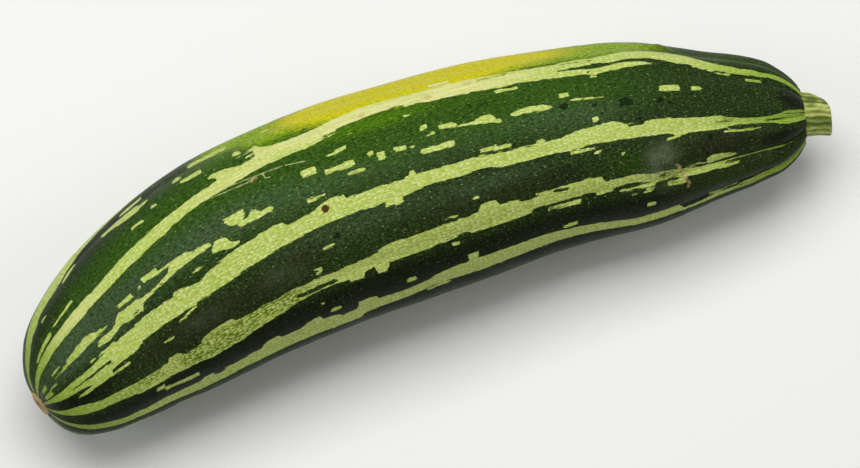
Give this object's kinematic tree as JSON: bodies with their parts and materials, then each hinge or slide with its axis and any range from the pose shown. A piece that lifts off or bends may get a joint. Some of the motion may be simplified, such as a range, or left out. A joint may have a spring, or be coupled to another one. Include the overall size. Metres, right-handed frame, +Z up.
{
  "type": "striped zucchini",
  "caption": "Long, gently bent summer squash lying on its side, faintly ribbed, with the stub of its cut stem and a corky blossom scar.",
  "frame": {"origin": "centre of the bounding box's bottom, on the surface that the fruit lies on", "axes": "+X along the fruit's chord from the blossom end to the stem, +Z up, and the fruit bends out towards +Y"},
  "size_m": [0.2814, 0.0772, 0.0718],
  "materials": {
    "skin": "waxy dark green skin with pale yellow-green lengthwise stripes, satin",
    "stem": "pale green, fibrous and ridged, matt",
    "scar": "dry tan cork, matt"
  },
  "bodies": {
    "root": {"fruit": "skin", "stem": "stem", "blossom_scar": "scar"}
  },
  "joints": []
}
